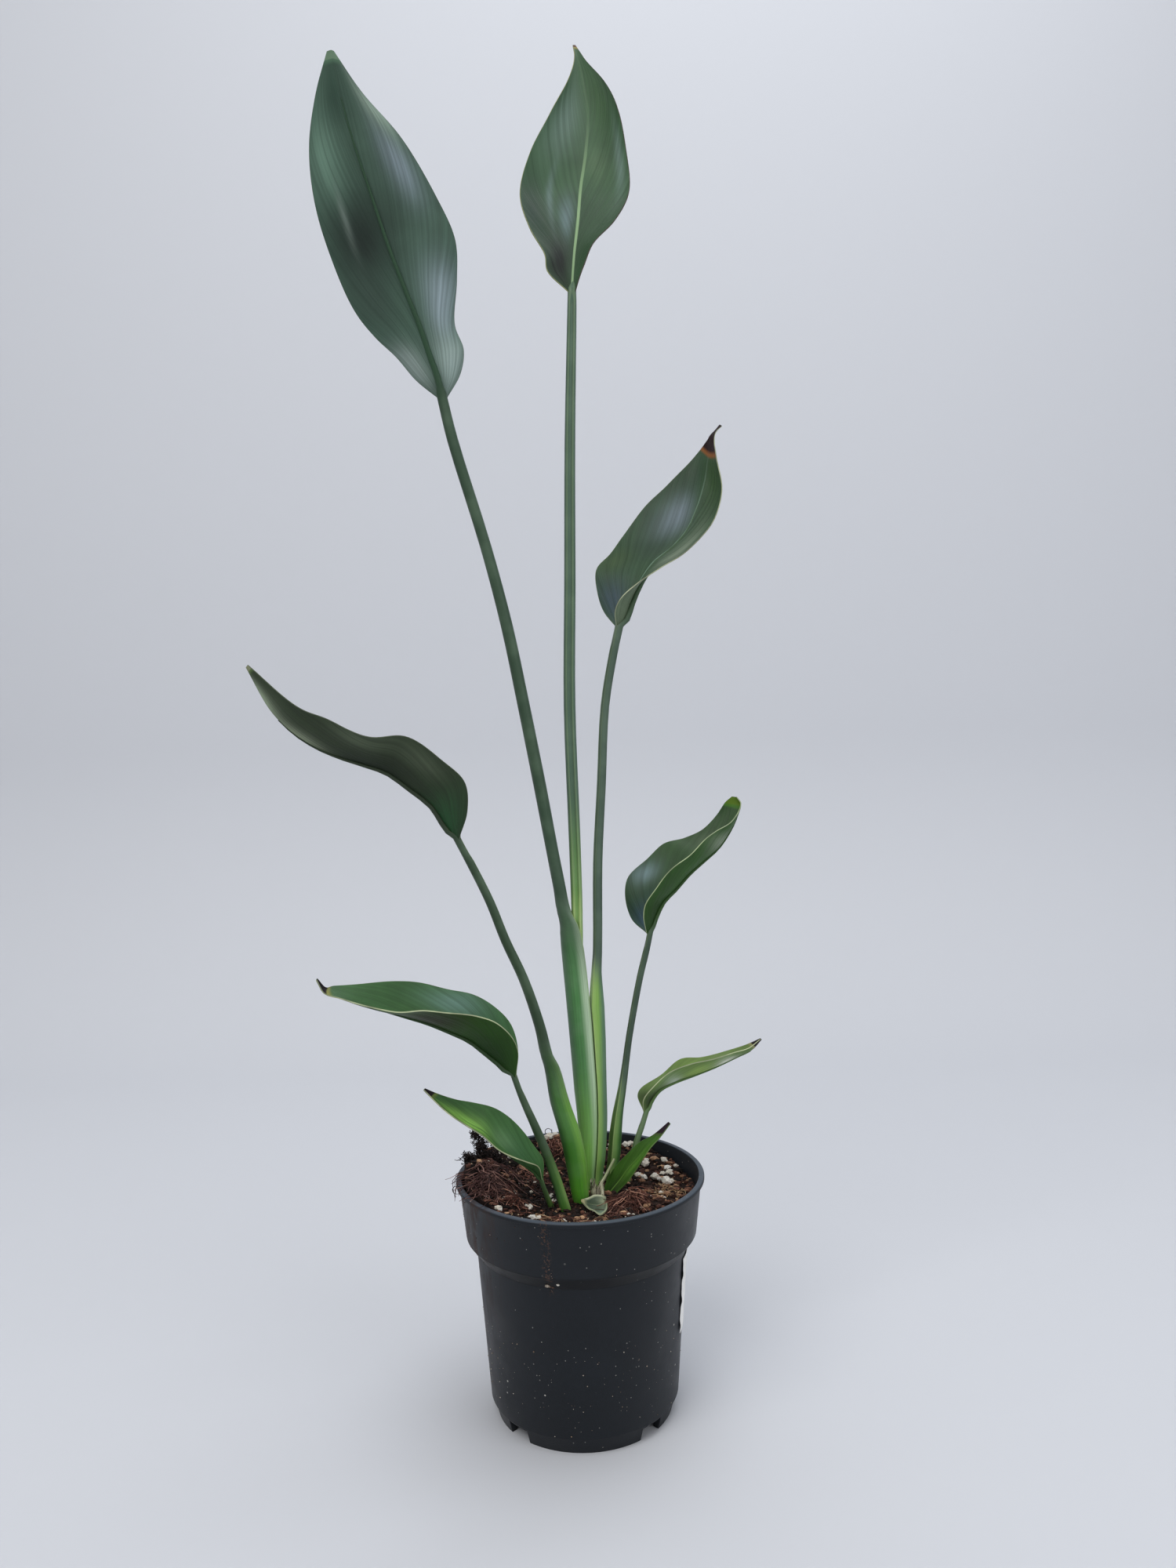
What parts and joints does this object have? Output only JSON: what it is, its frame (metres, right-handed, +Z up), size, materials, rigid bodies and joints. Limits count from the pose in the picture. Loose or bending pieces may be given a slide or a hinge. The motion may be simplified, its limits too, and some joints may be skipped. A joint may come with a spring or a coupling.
{
  "type": "potted bird of paradise",
  "caption": "Young bird of paradise house plant: a fan of upright paddle leaves on long grooved stalks, standing in soil in a round tapered nursery pot.",
  "frame": {"origin": "centre of the pot's foot, on the surface that the pot stands on", "axes": "+Z up along the pot's axis, +X along the fan of leaves toward its right end, -Y toward the viewer of the plant's front"},
  "size_m": [0.2477, 0.1477, 0.7412],
  "materials": {
    "pot_plastic": "semi-matte charcoal grey, dusty with soil",
    "label_paper": "blank white sticker",
    "soil_mix": "rough dark brown fibre and peat with white grains",
    "root_tissue": "pale fleshy roots",
    "leaf_tall": "leathery dark bluish green with a grey sheen",
    "leaf_middle": "leathery dark green with a pale midrib",
    "leaf_low": "leathery fresh green with pale margins",
    "leaf_dry": "dry and papery, beige to grey green"
  },
  "bodies": {
    "root": {"pot": "pot_plastic", "label": "label_paper", "soil": "soil_mix", "root_crown": "root_tissue", "leaf_centre_tall": "leaf_tall", "leaf_left_tall": "leaf_tall", "leaf_right_tall": "leaf_tall", "leaf_left_middle": "leaf_middle", "leaf_right_middle": "leaf_middle", "leaf_left_low": "leaf_low", "leaf_right_low": "leaf_low", "leaf_left_front": "leaf_low", "leaf_right_front": "leaf_low", "dried_first_leaf": "leaf_dry"}
  },
  "joints": []
}
